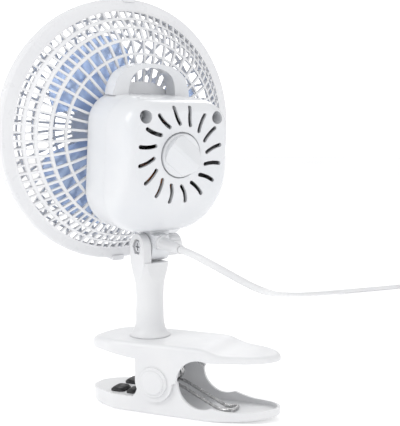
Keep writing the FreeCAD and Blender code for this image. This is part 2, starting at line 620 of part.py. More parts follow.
def vent_slot(angle):
    """Curved vent through the cover: a bent slot with round ends, swept slightly round the dial."""
    sweep = math.radians(7.0)
    a = math.radians(angle)
    r_mid = (VENT_R0 + VENT_R1) / 2
    start = V(0, VENT_R0 * math.cos(a), VENT_R0 * math.sin(a))
    end = V(0, VENT_R1 * math.cos(a + sweep), VENT_R1 * math.sin(a + sweep))
    bow = math.radians(5.6)
    middle = V(0, r_mid * math.cos(a + bow), r_mid * math.sin(a + bow))
    arc = Part.Wire([Part.Arc(start, middle, end).toShape()])
    outline = arc.makeOffset2D(VENT_W / 2, 0, False, False)
    slot = Part.Face(outline).extrude(V(40, 0, 0))
    slot.translate(V(10, 0, COVER_CZ))
    return slot


def make_rear_cover():
    cover = cover_body(0.0)
    inner = cover_body(WALL)
    inner.translate(V(-0.01, 0, 0))
    shell = cover.cut(inner)
    seat = cyl_x(DIAL_RECESS_R + WALL, DIAL_FLOOR_X - WALL, COVER_X1 - 0.5, 0, COVER_CZ)
    shell = shell.fuse(seat.common(cover))
    shell = shell.cut(cyl_x(DIAL_RECESS_R, DIAL_FLOOR_X, COVER_X1 + 5, 0, COVER_CZ))
    shell = shell.cut(cyl_x(4.6, DIAL_FLOOR_X - 5, COVER_X1 + 5, 0, COVER_CZ))
    shell = shell.cut(neck_slot())
    vents = [vent_slot(VENT_FIRST + 360.0 * k / VENTS) for k in range(VENTS)]
    shell = shell.cut(Part.makeCompound(vents))
    for y, z in SCREW_POSTS:
        well = cyl_x(5.8, BODY_X1 - 0.3, COVER_X1 - 1, y, z).common(cover)
        shell = shell.fuse(well)
        shell = shell.cut(cyl_x(WELL_R, WELL_FLOOR_X, COVER_X1 + 5, y, z))
        shell = shell.cut(cyl_x(1.6, 0, COVER_X1 + 5, y, z))
    return solid(shell.removeSplitter())


def make_cover_screws():
    return Part.makeCompound([pan_head(1.3, 3.2, 2.2, WELL_FLOOR_X, BODY_X1 - 9, y, z)
                              for y, z in SCREW_POSTS])


def make_guard_screws():
    return Part.makeCompound([pan_head(1.3, 3.0, 1.8, BODY_X0 - 2.0, BODY_X0 + WALL, y, z)
                              for y, z in GUARD_SCREWS])


def make_bracket_screws():
    screws = []
    for y in BRACKET_SCREW_Y:
        screw = pan_head(1.5, 2.8, 1.8, 0.0, -4.6)
        screw.rotate(V(0, 0, 0), Y_AXIS, -90)
        screw.translate(V(BRACKET_SCREW_X, y, FLANGE_Z1))
        screws.append(screw)
    return Part.makeCompound(screws)


# ---------------------------------------------------------------- head: dial and switch
def make_speed_dial():
    """Round knob with a roof-shaped grip across it, turned to its off position."""
    base_x = DIAL_FLOOR_X + GAP
    rim = turned([(base_x, 0), (base_x, DIAL_R), (base_x + 3.2, DIAL_R), (base_x + 4.0, DIAL_R - 0.8),
                  (base_x + 4.0, 0)])
    ridge_x = base_x + 8.6
    roof = [(base_x + 3, 11.5), (base_x + 4.6, 10.5), (ridge_x, 1.3), (ridge_x, -1.3), (base_x + 4.6, -10.5),
            (base_x + 3, -11.5)]
    roof = polygon_face([V(x, -DIAL_R, z) for x, z in roof]).extrude(V(0, 2 * DIAL_R, 0))
    grip = roof.common(cyl_x(DIAL_R - 1.2, base_x, ridge_x + 1))
    dial = rim.fuse(grip).removeSplitter()
    dial = dial.cut(cyl_x(SWITCH_SHAFT_R, base_x - 1, base_x + 6.0))
    dial.rotate(V(0, 0, 0), X_AXIS, DIAL_TURN)
    dial.translate(V(0, 0, COVER_CZ))
    return solid(dial)


def make_switch_body():
    """Rotary switch block behind the cover, with a collar round the shaft and three solder tabs."""
    block = box(SWITCH_X0, SWITCH_X1, -11, 11, COVER_CZ - 10, COVER_CZ + 8)
    collar = cyl_x(4.4, SWITCH_X1 - 1, DIAL_FLOOR_X, 0, COVER_CZ)
    tabs = [box(SWITCH_X0 - 5, SWITCH_X0 + 1, y - 2, y + 2, TAB_Z, TAB_Z + 0.8) for y in TAB_YS]
    bore = cyl_x(SWITCH_SHAFT_R + RUN_FIT, SWITCH_X0 + 3, DIAL_FLOOR_X + 1, 0, COVER_CZ)
    return solid(fuse([block, collar] + tabs).cut(bore))


def make_switch_shaft():
    return cyl_x(SWITCH_SHAFT_R, SWITCH_X0 + 3.1, DIAL_FLOOR_X + GAP + 6.0, 0, COVER_CZ)


def make_leads():
    """Two mains wires from the cord to the switch, and one from the switch to the winding."""
    x, y, z = CORD_EXIT
    leads = []
    for side, tab_y in ((-1, TAB_YS[0]), (1, TAB_YS[2])):
        at = y + side * 0.95
        leads.append(wire_run([V(x - 4, at, z), V(LEAD_X, at, z), V(LEAD_X, at, FLANGE_Z1 + 2.5),
                               V(16.8, at, 26),
                               V(16.8, tab_y, 54), V(16.8, tab_y, TAB_Z)], LEAD_R))
    winding_x = MOTOR_X1 + WINDING_OUT
    leads.append(wire_run([V(winding_x, 0, 54), V(16.8, 0, 54), V(16.8, 0, TAB_Z)], LEAD_R))
    return Part.makeCompound(leads)


def make_strain_relief():
    """Tapered sleeve round the cord; its tip is rounded about the tilt screw."""
    x, y, z = CORD_EXIT
    tip = x + RELIEF_LEN
    sleeve = turned([(x - 4, 0), (x - 4, RELIEF_ROOT_R), (x, RELIEF_ROOT_R), (x, RELIEF_ROOT_R + 0.7),
                     (x + 1.6, RELIEF_ROOT_R + 0.7), (x + 2.0, RELIEF_ROOT_R), (tip + 1, RELIEF_TIP_R),
                     (tip + 1, 0)])
    sleeve.translate(V(0, y, z))
    return solid(sleeve.common(cyl_y(tip, -20, 20)))


# ---------------------------------------------------------------- head: motor
def make_stator_core():
    core = box(MOTOR_X0, MOTOR_X1, -CORE_HALF_W, CORE_HALF_W, CORE_Z0, CORE_Z1)
    core = core.cut(cyl_x(ROTOR_R + AIR_GAP, MOTOR_X0 - 1, MOTOR_X1 + 1, 0, AXLE_Z))
    core = core.cut(box(MOTOR_X0 - 1, MOTOR_X1 + 1, -14, 14, COIL_LEG_Z1, AXLE_Z - 15.5))
    for side in (-1, 1):
        core = core.cut(shading_ring(side, in_notch=True))
        core = core.cut(cyl_x(1.6, MOTOR_X0 - 1, MOTOR_X1 + 1, side * MOTOR_SCREW_Y, AXLE_Z))
    return solid(core)


def shading_ring(side, in_notch=False):
    """Copper strap round one pole tip, or just its bars for cutting the notches they sit in."""
    y0, y1 = 3.0, 10.5
    z0 = AXLE_Z + 13.1 * side - 0.9
    bars = [box(MOTOR_X0 - 1.5, MOTOR_X1 + 1.5, side * y - 0.9, side * y + 0.9, z0, z0 + 1.8)
            for y in (y0, y1)]
    if in_notch:
        return Part.makeCompound(bars)
    low, high = sorted((side * y0, side * y1))
    for x0 in (MOTOR_X0 - 1.5, MOTOR_X1):
        bars.append(box(x0, x0 + 1.5, low - 0.9, high + 0.9, z0, z0 + 1.8))
    return solid(fuse(bars))


def make_shading_rings():
    return Part.makeCompound([shading_ring(side) for side in (-1, 1)])


def make_bobbin():
    """Nylon spool on the stator's lower leg."""
    half = BOBBIN_W / 2
    spool = box(MOTOR_X0 - 1.2, MOTOR_X1 + 1.2, -half, half, CORE_Z0 - 1.2, COIL_LEG_Z1 + 1.2)
    flanges = [box(MOTOR_X0 - 7, MOTOR_X1 + 7, y, y + 1.2, CORE_Z0 - 8, COIL_LEG_Z1 + 8.5)
               for y in (-half, half - 1.2)]
    body = fuse([spool] + flanges)
    return solid(body.cut(box(MOTOR_X0, MOTOR_X1, -30, 30, CORE_Z0, COIL_LEG_Z1)))


def make_winding():
    half = BOBBIN_W / 2 - 1.2
    turns = box(MOTOR_X0 - WINDING_OUT, MOTOR_X1 + WINDING_OUT, -half, half, CORE_Z0 - 7.2, COIL_LEG_Z1 + 7.6)
    turns = turns.makeFillet(3.0, [e for e in turns.Edges if e.BoundBox.YLength > 5])
    return solid(turns.cut(box(MOTOR_X0 - 1.2, MOTOR_X1 + 1.2, -30, 30, CORE_Z0 - 1.2, COIL_LEG_Z1 + 1.2)))


def bearing_plate(x_core, way):
    """Bridge across the stator that holds one bearing bush on the axle."""
    far = x_core + way * BEARING_OUT
    x0, x1 = sorted((far, far - way * 1.6))
    bar = box(x0, x1, -MOTOR_SCREW_Y - 4, MOTOR_SCREW_Y + 4, AXLE_Z - 6, AXLE_Z + 6)
    hub = cyl_x(BUSH_R + 1.8, *bush_span(x_core, way), 0, AXLE_Z)
    x0, x1 = sorted((x_core, far))
    feet = [box(x0, x1, side * MOTOR_SCREW_Y - 3.4, side * MOTOR_SCREW_Y + 3.4, AXLE_Z - 5, AXLE_Z + 5)
            for side in (-1, 1)]
    plate = fuse([bar, hub] + feet)
    for side in (-1, 1):
        plate = plate.cut(cyl_x(1.6, -60, 60, side * MOTOR_SCREW_Y, AXLE_Z))
    return solid(plate.cut(cyl_x(BUSH_R, -60, 60, 0, AXLE_Z)))


def bush_span(x_core, way):
    return sorted((x_core + way * (BEARING_OUT - 1.6), x_core + way * (BEARING_OUT + 3.4)))


def make_bushes():
    bushes = []
    for x_core, way in ((MOTOR_X0, -1), (MOTOR_X1, 1)):
        x0, x1 = bush_span(x_core, way)
        bushes.append(cyl_x(BUSH_R, x0, x1, 0, AXLE_Z).cut(cyl_x(SHAFT_R + RUN_FIT, -60, 60, 0, AXLE_Z)))
    return Part.makeCompound([solid(b) for b in bushes])


def make_motor_screws():
    """Two long screws clamp both bearing plates through the stack."""
    screws = []
    for side in (-1, 1):
        y = side * MOTOR_SCREW_Y
        screws.append(pan_head(1.6, 3.0, 2.0, MOTOR_X1 + BEARING_OUT, MOTOR_X0 - BEARING_OUT, y, AXLE_Z))
    return Part.makeCompound(screws)


def make_motor_mount_screws():
    screws = []
    for y, z in MOTOR_POSTS:
        screws.append(pan_head(1.3, 2.6, 1.8, MOTOR_X0 - 0.5, BODY_X0 + 3.0, y, z))
    return Part.makeCompound(screws)


def make_motor_lugs():
    """Steel straps from the stack to the housing posts."""
    lugs = []
    for side in (-1, 1):
        y0, y1 = sorted((side * CORE_HALF_W, side * 31.0))
        lug = box(MOTOR_X0 - 2.0, MOTOR_X0 - 0.5, y0, y1, AXLE_Z - 4, AXLE_Z + 4)
        y0, y1 = sorted((side * CORE_HALF_W, side * (CORE_HALF_W + 1.4)))
        web = box(MOTOR_X0 - 2.0, MOTOR_X0 + 6.0, y0, y1, AXLE_Z - 4, AXLE_Z + 4)
        lug = lug.fuse(web).cut(cyl_x(1.3, -60, 60, side * 27.0, AXLE_Z))
        lugs.append(solid(lug.removeSplitter()))
    return Part.makeCompound(lugs)


def make_motor_shaft():
    return cyl_x(SHAFT_R, HUB_X0 + 4.0, MOTOR_X1 + BEARING_OUT + 3.0, 0, AXLE_Z)


def make_rotor():
    """Laminated cage rotor with cast end rings, pressed on the shaft."""
    rotor = cyl_x(ROTOR_R, MOTOR_X0, MOTOR_X1, 0, AXLE_Z)
    end_rings = cyl_x(ROTOR_R - 1.2, MOTOR_X0 - 2.5, MOTOR_X1 + 2.5, 0, AXLE_Z)
    body = fuse([rotor, end_rings])
    return solid(body.cut(cyl_x(SHAFT_R, -60, 60, 0, AXLE_Z)))


def make_thrust_washers():
    washers = []
    for x0 in (MOTOR_X0 - 4.2, MOTOR_X1 + 3.4):
        washers.append(cyl_x(4.6, x0, x0 + 0.8, 0, AXLE_Z).cut(cyl_x(SHAFT_R, -60, 60, 0, AXLE_Z)))
    return Part.makeCompound([solid(w) for w in washers])


# ---------------------------------------------------------------- head: blade
def blade_sheet(middle):
    """Twisted, round-tipped blade: a surface through a grid of points, given its thickness."""
    rows = []
    for i in range(7):
        across = i / 6.0 - 0.5
        tip = BLADE_R - 16.0 * abs(2 * across) ** 3.4
        row = []
        for j in range(5):
            out = j / 4.0
            r = (HUB_R - 2.0) * (1 - out) + tip * out
            a = math.radians(middle + across * BLADE_SPAN * (0.8 + 0.2 * out) + BLADE_SWEEP * out)
            rise = BLADE_PITCH * across * (0.75 + 0.25 * out)
            row.append(V(BLADE_X + rise, r * math.cos(a), AXLE_Z + r * math.sin(a)))
        rows.append(row)
    surface = Part.BSplineSurface()
    surface.interpolate(rows)
    return surface.toShape().extrude(V(BLADE_THICK, 0, 0))


def make_fan_blade():
    hub = turned([(HUB_X0, 0), (HUB_X0, HUB_R - 3), (HUB_X0 + 3, HUB_R), (HUB_X1, HUB_R),
                  (HUB_X1, HUB_R - 1.6), (HUB_X0 + 3, HUB_R - 1.6), (HUB_X0 + 1.8, HUB_R - 4),
                  (HUB_X0 + 1.8, 5.5), (HUB_X1 - 2, 5.0), (HUB_X1 - 2, 0)], AXLE_Z)
    blades = [blade_sheet(BLADE_FIRST + k * 360.0 / BLADE_COUNT) for k in range(BLADE_COUNT)]
    trimmed = [b.cut(cyl_x(HUB_R - 1.0, -100, 0, 0, AXLE_Z)) for b in blades]
    fan = hub.multiFuse(trimmed)
    return solid(fan.cut(cyl_x(SHAFT_R, HUB_X0 + 4.0, 0, 0, AXLE_Z)))


def make_blade_clip():
    """Spring ring that grips the blade's sleeve on the shaft."""
    ring = cyl_x(6.2, HUB_X1 - 5.0, HUB_X1 - 2.5, 0, AXLE_Z).cut(cyl_x(5.4, -100, 0, 0, AXLE_Z))
    return solid(ring.cut(box(-100, 0, -1.5, 1.5, AXLE_Z, AXLE_Z + 10)))


# ---------------------------------------------------------------- head: guards
def cell(r0, r1, middle, x0, x1):
    """Opening between two ribs and two rings, as a block along the axle."""
    a = math.radians(middle)

    def at(r, side):
        t = a + side * (math.pi / RIBS - RIB_W / 2 / r)
        return V(x0, r * math.cos(t), AXLE_Z + r * math.sin(t))

    edges = [Part.LineSegment(at(r0, -1), at(r1, -1)), Part.Arc(at(r1, -1), at_angle(r1, a, x0), at(r1, 1)),
             Part.LineSegment(at(r1, 1), at(r0, 1)), Part.Arc(at(r0, 1), at_angle(r0, a, x0), at(r0, -1))]
    wire = Part.Wire([edge.toShape() for edge in edges])
    return Part.Face(wire).extrude(V(x1 - x0, 0, 0))


def at_angle(r, a, x):
    return V(x, r * math.cos(a), AXLE_Z + r * math.sin(a))


def grille(shell, zones, x0, x1):
    cells = []
    for r0, r1 in zones:
        for k in range(RIBS):
            cells.append(cell(r0 + RIB_W / 2, r1 - RIB_W / 2, 360.0 * (k + 0.5) / RIBS, x0, x1))
    return solid(shell.cut(Part.makeCompound(cells)))


def make_rear_guard():
    """Bowl-shaped rear grille with a plain hub plate and a deep outer band."""
    x = BODY_X0
    outside = [(0, 14), (0, 37), (1.2, 57), (4.0, 67), (10.0, 75), (14.5, 79), (19.5, 82.8), (23.5, 87.5),
               (24.5, 93.8), (25.7, RIM_R), (31.5, RIM_R)]
    inside = [(31.5, 92.8), (26.3, 92.8), (25.6, 86.6), (21.3, 81.2), (16.1, 77.4), (11.4, 73.4), (5.9, 65.9),
              (3.2, 56.4), (2.0, 36.6), (2.0, 14)]
    shell = turned([(x - deep, r) for deep, r in outside + inside], AXLE_Z)
    shell = grille(shell, list(zip(REAR_RINGS, REAR_RINGS[1:])), x - 40, x + 5)
    for y, z in GUARD_SCREWS:
        shell = shell.cut(cyl_x(1.6, x - 10, x + 5, y, z))
    return solid(shell)


def make_front_guard():
    x = FRONT_X
    outside = [(0, 86.0), (0, RIM_R - 0.4), (2.6, RIM_R - 0.4), (3.6, 93.0), (9.0, 90.6), (17.0, 84.0),
               (23.0, 73.0), (27.0, 58.0), (29.4, 40.0), (30.6, 20.0), (30.6, 0)]
    inside = [(28.6, 0), (28.6, 20.0), (27.4, 39.6), (25.1, 57.2), (21.2, 71.8), (15.7, 82.0), (8.6, 87.9),
              (2.2, 90.0), (2.2, 86.0)]
    shell = turned([(x - deep, r) for deep, r in outside + inside], AXLE_Z)
    lip = turned([(x - 1, 89.6), (x - 1, 92.5), (x + 4.6, 92.5), (x + 4.6, 91.0), (x + 1, 89.6)], AXLE_Z)
    shell = shell.fuse(lip).removeSplitter()
    shell = grille(shell, list(zip(FRONT_RINGS, FRONT_RINGS[1:])), x - 40, x - 2.4)
    return solid(shell)


def make_front_badge():
    """Plain domed disc in the middle of the front guard."""
    x = FRONT_X - 30.6
    return turned([(x, 0), (x, 19.5), (x - 1.2, 19.2), (x - 2.6, 16.0), (x - 3.2, 10.0), (x - 3.4, 0)],
                  AXLE_Z)


def make_rim_clips(guards):
    """Snap clips over the rim, at the top and at the bottom."""
    x0 = FRONT_X - 3.8
    x1 = BODY_X0 - 23.2
    clips = []
    for side in (-1, 1):
        z0, z1 = sorted((side * 92.8, side * 100))
        block = box(x0, x1, -4.5, 4.5, z0, z1).common(cyl_x(RIM_R + 1.5, x0, x1))
        block.translate(V(0, 0, AXLE_Z))
        for guard in guards:
            block = block.cut(guard)
        clips.append(max(block.Solids, key=lambda piece: piece.Volume))
    return Part.makeCompound(clips)


def head_parts():
    rear_guard = make_rear_guard()
    front_guard = make_front_guard()
    return {
        "tilt_bracket": make_tilt_bracket(),
        "bracket_screws": make_bracket_screws(),
        "front_housing": make_front_housing(),
        "rear_cover": make_rear_cover(),
        "cover_screws": make_cover_screws(),
        "rear_guard": rear_guard,
        "guard_screws": make_guard_screws(),
        "front_guard": front_guard,
        "front_badge": make_front_badge(),
        "rim_clips": make_rim_clips([rear_guard, front_guard]),
        "speed_dial": make_speed_dial(),
        "switch_shaft": make_switch_shaft(),
        "rotary_switch": make_switch_body(),
        "internal_leads": make_leads(),
        "strain_relief": make_strain_relief(),
        "stator_core": make_stator_core(),
        "shading_rings": make_shading_rings(),
        "coil_bobbin": make_bobbin(),
        "coil_winding": make_winding(),
        "front_bearing_plate": bearing_plate(MOTOR_X0, -1),
        "rear_bearing_plate": bearing_plate(MOTOR_X1, 1),
        "bearing_bushes": make_bushes(),
        "motor_screws": make_motor_screws(),
        "motor_lugs": make_motor_lugs(),
        "motor_mount_screws": make_motor_mount_screws(),
        "motor_shaft": make_motor_shaft(),
        "motor_rotor": make_rotor(),
        "thrust_washers": make_thrust_washers(),
        "fan_blade": make_fan_blade(),
        "blade_clip": make_blade_clip(),
    }


def placed(shape, yaw, lean, at):
    """Lean a shape about Y, turn it about Z and move it."""
    result = shape.copy()
    result.rotate(V(0, 0, 0), Y_AXIS, lean)
    result.rotate(V(0, 0, 0), Z_AXIS, yaw)
    result.translate(at)
    return result


def head_to_stem(shape):
    return placed(shape, HEAD_YAW, HEAD_LEAN, V(0, 0, TILT_Z))


# ---------------------------------------------------------------- cord
def rounded_path(points, name):
    """Straight runs joined by tangent arcs, each as large as its two runs allow."""
    edges = []
    at = points[0]
    radii = []
    for before, corner, after in zip(points, points[1:], points[2:]):
        into = (corner - before).normalize()
        out = (after - corner).normalize()
        half_turn = into.getAngle(out) / 2
        tangent = 0.45 * min(corner.distanceToPoint(before), corner.distanceToPoint(after))
        radius = tangent / math.tan(half_turn)
        radii.append(radius)
        start = corner - into * tangent
        end = corner + out * tangent
        inward = (out - into).normalize()
        middle = corner + inward * (radius / math.cos(half_turn) - radius)
        edges.append(Part.LineSegment(at, start).toShape())
        edges.append(Part.Arc(start, middle, end).toShape())
        at = end
    edges.append(Part.LineSegment(at, points[-1]).toShape())
    print(name, "radii", [round(r) for r in radii])
    return Part.Wire(edges)


def cord_tube(points, name):
    path = rounded_path(points, name)
    circle = Part.Circle(points[0], points[1] - points[0], CORD_R)
    tube = solid(path.makePipeShell([Part.Wire([circle.toShape()])], True, False))
    expected = math.pi * CORD_R ** 2 * path.Length
    print("%s length %.1f volume %.0f expected %.0f" % (name, path.Length, tube.Volume, expected))
    return tube


def relief_point(distance):
    """A point on the strain relief's axis, in the stem's place."""
    return head_to_stem(Part.Vertex(CORD_EXIT + V(distance, 0, 0))).Point


def make_cord_lead():
    points = [relief_point(RELIEF_LEN - 2)] + CORD_ROUTE
    keep_clear = head_to_stem(cyl_y(CORD_EXIT.x + RELIEF_LEN + 0.1, -20, 20))
    return solid(cord_tube(points, "power_cord_lead").cut(keep_clear))


def make_coil():
    ring = cyl_z(COIL_R1, TIE_THICK, TIE_THICK + COIL_H).cut(cyl_z(COIL_R0, 0, 40))
    ring = ring.makeFillet(2.2, [e for e in ring.Edges if e.Closed])
    ring.translate(COIL_AT)
    return solid(ring)


def make_tie():
    """Strap round the coiled turns."""
    mid = (COIL_R0 + COIL_R1) / 2
    half = (COIL_R1 - COIL_R0) / 2
    half_w = TIE_W / 2
    outer = box(mid - half - TIE_THICK, mid + half + TIE_THICK, -half_w, half_w, 0, COIL_H + 2 * TIE_THICK)
    inner = box(mid - half, mid + half, -half_w, half_w, TIE_THICK, TIE_THICK + COIL_H)
    tie = outer.cut(inner).cut(make_coil().translated(-COIL_AT))
    tie.rotate(V(0, 0, 0), Z_AXIS, 215)
    tie.translate(COIL_AT)
    return solid(tie)


def make_plug():
    """Flat two-pin plug with a tapered neck, lying on the floor and pointing along -Y."""
    end = COIL_AT + TAIL_ROUTE[-1]
    neck = Part.makeLoft([round_rect(w, w, w - 0.2, x, 0) for x, w in ((0.0, 3.4), (12.0, 4.6))], True)
    sections = [(11.0, 7.5, 5.4), (15.0, PLUG_HALF_W, PLUG_HALF_H), (PLUG_LEN + 11.0, PLUG_HALF_W, PLUG_HALF_H)]
    body = Part.makeLoft([round_rect(w, h, 3.0, x, 0) for x, w, h in sections], True, True)
    plug = fuse([solid(neck), solid(body)])
    for y in PIN_YS:
        plug = plug.cut(box(PLUG_LEN + 5.0, PLUG_LEN + 12.0, y - 0.75, y + 0.75, -3.2, 3.2))
    plug.rotate(V(0, 0, 0), Z_AXIS, -90)
    plug.translate(end)
    return solid(plug)


def make_plug_pins():
    end = COIL_AT + TAIL_ROUTE[-1]
    pins = []
    for y in PIN_YS:
        pin = box(PLUG_LEN + 5.0, PLUG_LEN + 11.0 + PIN_LEN, y - 0.75, y + 0.75, -3.2, 3.2)
        hole = cyl_y(1.5, y - 2, y + 2, PLUG_LEN + 11.0 + PIN_LEN - 4.0, 0)
        pin = pin.cut(hole)
        pin.rotate(V(0, 0, 0), Z_AXIS, -90)
        pin.translate(end)
        pins.append(solid(pin))
    return Part.makeCompound(pins)


def cord_parts():
    tail = [COIL_AT + p for p in TAIL_ROUTE]
    return {
        "power_cord_lead": make_cord_lead(),
        "power_cord_coil": make_coil(),
        "power_cord_tail": cord_tube(tail, "power_cord_tail"),
        "cord_tie": make_tie(),
        "plug_body": make_plug(),
        "plug_pins": make_plug_pins(),
    }


def fan_parts():
    nodes = clip_parts()
    for name, shape in stem_parts().items():
        nodes[name] = placed(shape, HEAD_YAW, 0.0, V(0, 0, 0))
    for name, shape in head_parts().items():
        nodes[name] = head_to_stem(shape)
    return nodes


def describe(name, shape):
    box_size = shape.optimalBoundingBox(False)
    sides = [round(v, 1) for v in (box_size.XMin, box_size.XMax, box_size.YMin, box_size.YMax,
                                   box_size.ZMin, box_size.ZMax)]
    print("%-24s vol %9.0f solids %d valid %s  box %s" % (
        name, shape.Volume, len(shape.Solids), shape.isValid(), sides))


def main():
    os.makedirs("parts", exist_ok=True)
    fan = fan_parts()
    cord = cord_parts()
    for name, shape in list(fan.items()) + list(cord.items()):
        shape = shape.translated(STEM_AT)
        describe(name, shape)
        shape.exportStep("parts/%s.step" % name)
    describe("fan without cord", Part.makeCompound([s.translated(STEM_AT) for s in fan.values()]))


if __name__ == "__main__":
    main()
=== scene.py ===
"""Clip-on desk fan seen from behind: materials, studio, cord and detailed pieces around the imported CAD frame.

All lengths are in metres in the CAD's row frame, +Z up, floor at z = 0.
"""
import json
import math

import bmesh
import bpy
from mathutils import Matrix, Vector


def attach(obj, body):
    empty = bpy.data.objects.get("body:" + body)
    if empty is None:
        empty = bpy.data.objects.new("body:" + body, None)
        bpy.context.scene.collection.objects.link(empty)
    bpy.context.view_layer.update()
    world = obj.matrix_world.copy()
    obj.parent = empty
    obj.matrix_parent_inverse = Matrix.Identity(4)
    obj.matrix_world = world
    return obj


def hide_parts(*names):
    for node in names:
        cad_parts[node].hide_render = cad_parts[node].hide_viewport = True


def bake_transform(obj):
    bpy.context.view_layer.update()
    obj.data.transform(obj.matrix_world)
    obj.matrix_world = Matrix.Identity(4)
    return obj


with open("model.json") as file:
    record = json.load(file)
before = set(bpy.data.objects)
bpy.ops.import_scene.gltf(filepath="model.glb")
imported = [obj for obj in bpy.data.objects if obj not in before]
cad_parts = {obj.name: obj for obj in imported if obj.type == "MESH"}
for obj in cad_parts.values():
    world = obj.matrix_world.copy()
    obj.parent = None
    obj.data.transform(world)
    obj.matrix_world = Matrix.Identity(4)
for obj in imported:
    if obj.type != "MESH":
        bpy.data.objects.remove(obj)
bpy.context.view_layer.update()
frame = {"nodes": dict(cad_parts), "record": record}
NODES = frame["nodes"]

# ---------------------------------------------------------------- sizes
MM = 0.001
HEAD_YAW = math.radians(-31.5)
HEAD_LEAN = math.radians(5.7)
STEM_AT = Vector((-0.85, -21.85, 0)) * MM
TILT_Z = 114 * MM
AXLE_Z = 76.5                                   # mm, in the head's own frame
GUARD_BACK_X = -20.0                            # rear guard's plate, mm, in the head's own frame
GUARD_CELLS = 45
HINGE_AT = Vector((15.5, 0, 23.6))              # clip's pin, mm from STEM_AT
SPRING_R = 6.0                                  # middle of the spring's wire, mm
SPRING_WIRE_R = 1.12 * MM

CAM_AT = (0.28935, -0.58565, 0.1972)
CAM_TURN = math.radians(24)
CAM_PITCH = math.radians(5.4)
CAM_LENS = 81

CORD_R = 2.5 * MM
ROUTE = [
    (0.03201, -0.03964, 0.11530), (0.04395, -0.04695, 0.11390), (0.05915, -0.04885, 0.10800),
    (0.07215, -0.04185, 0.09950), (0.07965, -0.02835, 0.09150), (0.07965, -0.01035, 0.08600),
    (0.07315, 0.01515, 0.08050), (0.06065, 0.05815, 0.07150), (0.04265, 0.11965, 0.05900),
    (0.02265, 0.18415, 0.04600), (0.00465, 0.25065, 0.03300), (-0.00685, 0.31665, 0.02050),
    (-0.00935, 0.37915, 0.01000), (0.00065, 0.42965, 0.00400), (0.02165, 0.46365, 0.00260),
    (0.04865, 0.49315, 0.00260), (0.07315, 0.52315, 0.00260), (0.09365, 0.54515, 0.00330)]
COIL_AT = Vector((0.11565, 0.52465, 0))
COIL_START = 136.9                              # degrees, where the lead joins the outer turn
TURN_POINTS = 16
COIL_TURNS = [(30.0, 3.3), (25.0, 3.3), (25.0, 8.3), (30.0, 8.3)]   # radius and height of each turn, mm
TAIL = [(0, 28.2, 12.9), (14.3, 24.8, 13.2), (24.8, 14, 12.8), (29.2, -0.5, 11.2), (30.7, -15.5, 8.6),
        (31, -30, 7), (31, -43, 7)]             # from the coil's centre, mm


def head_point(x, y, z):
    """Point of the head's own frame, in the row frame."""
    turn = Matrix.Rotation(HEAD_YAW, 3, "Z") @ Matrix.Rotation(HEAD_LEAN, 3, "Y")
    return turn @ Vector((x, y, z)) + STEM_AT + Vector((0, 0, TILT_Z))


# ---------------------------------------------------------------- camera, light and floor
def make_camera():
    data = bpy.data.cameras.new("camera")
    data.lens = CAM_LENS
    data.sensor_fit = "HORIZONTAL"
    data.sensor_width = 36
    data.clip_start = 0.01
    camera = bpy.data.objects.new("camera", data)
    bpy.context.scene.collection.objects.link(camera)
    right = Vector((math.cos(CAM_TURN), math.sin(CAM_TURN), 0))
    back = Vector((math.sin(CAM_TURN) * math.cos(CAM_PITCH), -math.cos(CAM_TURN) * math.cos(CAM_PITCH),
                   math.sin(CAM_PITCH)))
    up = back.cross(right)
    camera.matrix_world = Matrix.Translation(CAM_AT) @ Matrix((right, up, back)).transposed().to_4x4()
    bpy.context.scene.camera = camera


def make_light(name, at, aim, size, power, colour=(1, 1, 1)):
    data = bpy.data.lights.new(name, "AREA")
    data.shape = "DISK"
    data.size = size
    data.energy = power
    data.color = colour
    light = bpy.data.objects.new(name, data)
    bpy.context.scene.collection.objects.link(light)
    light.location = at
    light.rotation_mode = "QUATERNION"
    light.rotation_quaternion = (Vector(aim) - Vector(at)).to_track_quat("-Z", "Y")


def make_world(strength):
    world = bpy.data.worlds.new("studio")
    world.use_nodes = True
    sky = world.node_tree.nodes["Background"]
    sky.inputs["Color"].default_value = (1, 1, 1, 1)
    sky.inputs["Strength"].default_value = strength
    bpy.context.scene.world = world


def make_backdrop(strength):
    """White wall all round, far away: the object gets no light, reflection or shadow from it."""
    sides = 48
    radius = 5.8
    ring = [(radius * math.cos(2 * math.pi * k / sides), radius * math.sin(2 * math.pi * k / sides))
            for k in range(sides)]
    mesh = bpy.data.meshes.new("backdrop")
    faces = [(k, (k + 1) % sides, sides + (k + 1) % sides, sides + k) for k in range(sides)]
    mesh.from_pydata([(x, y, -0.01) for x, y in ring] + [(x, y, 4.0) for x, y in ring], [], faces)
    wall = bpy.data.objects.new("backdrop", mesh)
    bpy.context.scene.collection.objects.link(wall)
    material = bpy.data.materials.new("look_backdrop")
    material.use_nodes = True
    shader = material.node_tree.nodes["Principled BSDF"]
    shader.inputs["Base Color"].default_value = (0.9, 0.9, 0.9, 1)
    shader.inputs["Emission Color"].default_value = (1, 1, 1, 1)
    shader.inputs["Emission Strength"].default_value = strength
    mesh.materials.append(material)
    wall.visible_diffuse = False
    wall.visible_glossy = False
    wall.visible_shadow = False


def make_floor():
    half = 6.0
    mesh = bpy.data.meshes.new("floor")
    corners = [(-half, -half, 0), (half, -half, 0), (half, half, 0), (-half, half, 0)]
    mesh.from_pydata(corners, [], [(0, 1, 2, 3)])
    floor = bpy.data.objects.new("floor", mesh)
    bpy.context.scene.collection.objects.link(floor)
    material = plastic("studio_floor", (0.96, 0.96, 0.96), (0.94, 0.94, 0.945), (0.75, 0.85),
                       spark=(260, 0.00005), mottle=3, edge=0)
    shader = material.node_tree.nodes["Principled BSDF"]
    shader.inputs["Specular IOR Level"].default_value = 0.0
    shader.inputs["Emission Color"].default_value = (1, 1, 1, 1)
    shader.inputs["Emission Strength"].default_value = 0.2
    mesh.materials.append(material)


